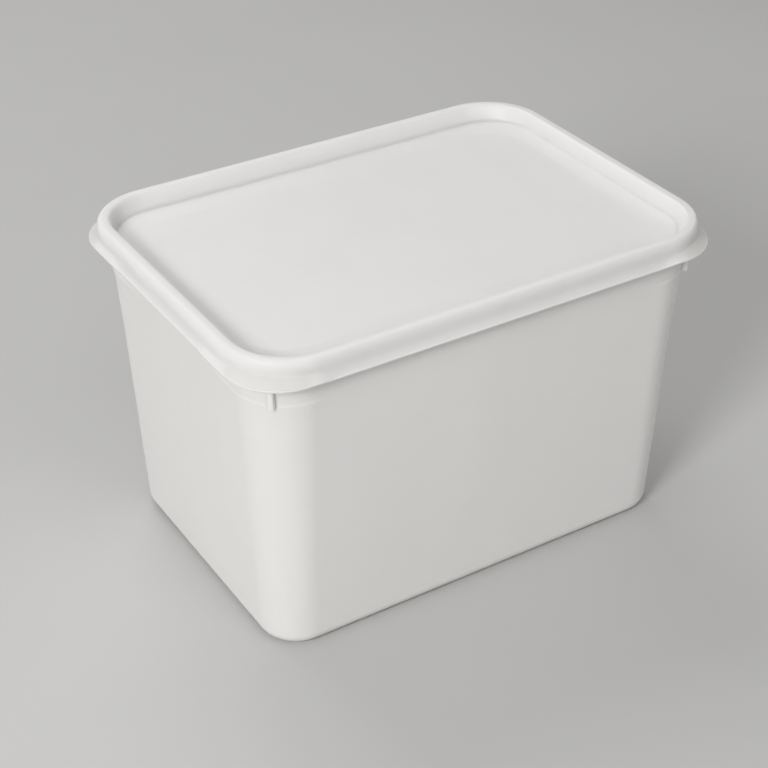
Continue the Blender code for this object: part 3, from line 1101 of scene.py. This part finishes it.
floorLook = {
    "size": 8.0,
    "colour": (0.55, 0.55, 0.545, 1.0),
    "cloud": (0.53, 0.53, 0.525, 1.0),
    "cloudSize": 0.6,
    "stretch": 1.0,
    "roughness": 0.75,
}


def makeFloor():
    material = bpy.data.materials.new("floorPaint")
    material.use_nodes = True
    tree = material.node_tree
    inputs = tree.nodes["Principled BSDF"].inputs
    flow = useGroup(tree, groups["flow"], {
        "Place": addNode(tree, "ShaderNodeTexCoord").outputs["Object"],
        "Plain": floorLook["colour"],
        "Cloud": floorLook["cloud"],
        "Cloud size": floorLook["cloudSize"],
        "Stretch": floorLook["stretch"],
    })
    tree.links.new(flow["Colour"], inputs["Base Color"])
    inputs["Roughness"].default_value = floorLook["roughness"]
    half = floorLook["size"] / 2
    corners = [(-half, -half, 0), (half, -half, 0), (half, half, 0), (-half, half, 0)]
    mesh = bpy.data.meshes.new("floor")
    mesh.from_pydata(corners, [], [(0, 1, 2, 3)])
    mesh.materials.append(material)
    floor = bpy.data.objects.new("floor", mesh)
    bpy.context.scene.collection.objects.link(floor)


lights = {
    "keyLight": {"azimuth": -60.0, "elevation": 30.0, "size": 0.5, "power": 14.6},
    "frontLight": {"azimuth": 0.0, "elevation": 45.0, "size": 1.1, "power": 3.8},
    "backLight": {"azimuth": 180.0, "elevation": 50.0, "size": 1.1, "power": 7.6},
}
lightAim = (0.0, 0.0, 0.08)
lightDistance = 1.6
lightColour = (1.0, 0.995, 0.99)

sky = {
    "colour": (1.0, 0.99, 0.98, 1.0),
    "strength": 0.42,
}


def directionTo(azimuth, elevation):
    # azimuth 0 is the side at -Y, and it grows towards +X
    level = math.cos(elevation)
    return Vector((math.sin(azimuth) * level, -math.cos(azimuth) * level, math.sin(elevation)))


def makeLights():
    for name, look in lights.items():
        data = bpy.data.lights.new(name, "AREA")
        data.shape = "DISK"
        data.size = look["size"]
        data.energy = look["power"]
        data.color = lightColour
        lamp = bpy.data.objects.new(name, data)
        direction = directionTo(math.radians(look["azimuth"]), math.radians(look["elevation"]))
        lamp.location = Vector(lightAim) + direction * lightDistance
        lamp.rotation_euler = direction.to_track_quat("Z", "Y").to_euler()
        bpy.context.scene.collection.objects.link(lamp)


def makeSky():
    world = bpy.data.worlds.new("studio")
    world.use_nodes = True
    background = world.node_tree.nodes["Background"]
    background.inputs["Color"].default_value = sky["colour"]
    background.inputs["Strength"].default_value = sky["strength"]
    bpy.context.scene.world = world
    bpy.context.scene.view_settings.view_transform = "Khronos PBR Neutral"


cameraView = {
    "azimuth": math.radians(-31.76),
    "elevation": math.radians(33.2),
    "roll": math.radians(-0.21),
    "distance": 776.8 * mm,
    "aim": (-4.33 * mm, 4.17 * mm, 61.93 * mm),
    "lens": 80.67,
    "sensor": 36.0,
}


def makeCamera():
    azimuth = cameraView["azimuth"]
    back = directionTo(azimuth, cameraView["elevation"])
    right = Vector((math.cos(azimuth), math.sin(azimuth), 0.0))
    up = back.cross(right)
    roll = Matrix.Rotation(cameraView["roll"], 3, "Z")
    turned = Matrix((right, up, back)).transposed() @ roll
    eye = Vector(cameraView["aim"]) + back * cameraView["distance"]
    data = bpy.data.cameras.new("camera")
    data.sensor_width = cameraView["sensor"]
    data.lens = cameraView["lens"]
    camera = bpy.data.objects.new("camera", data)
    camera.matrix_world = Matrix.Translation(eye) @ turned.to_4x4()
    bpy.context.scene.collection.objects.link(camera)
    bpy.context.scene.camera = camera


makeFloor()
makeLights()
makeSky()
makeCamera()
print("floor, light and camera ready")
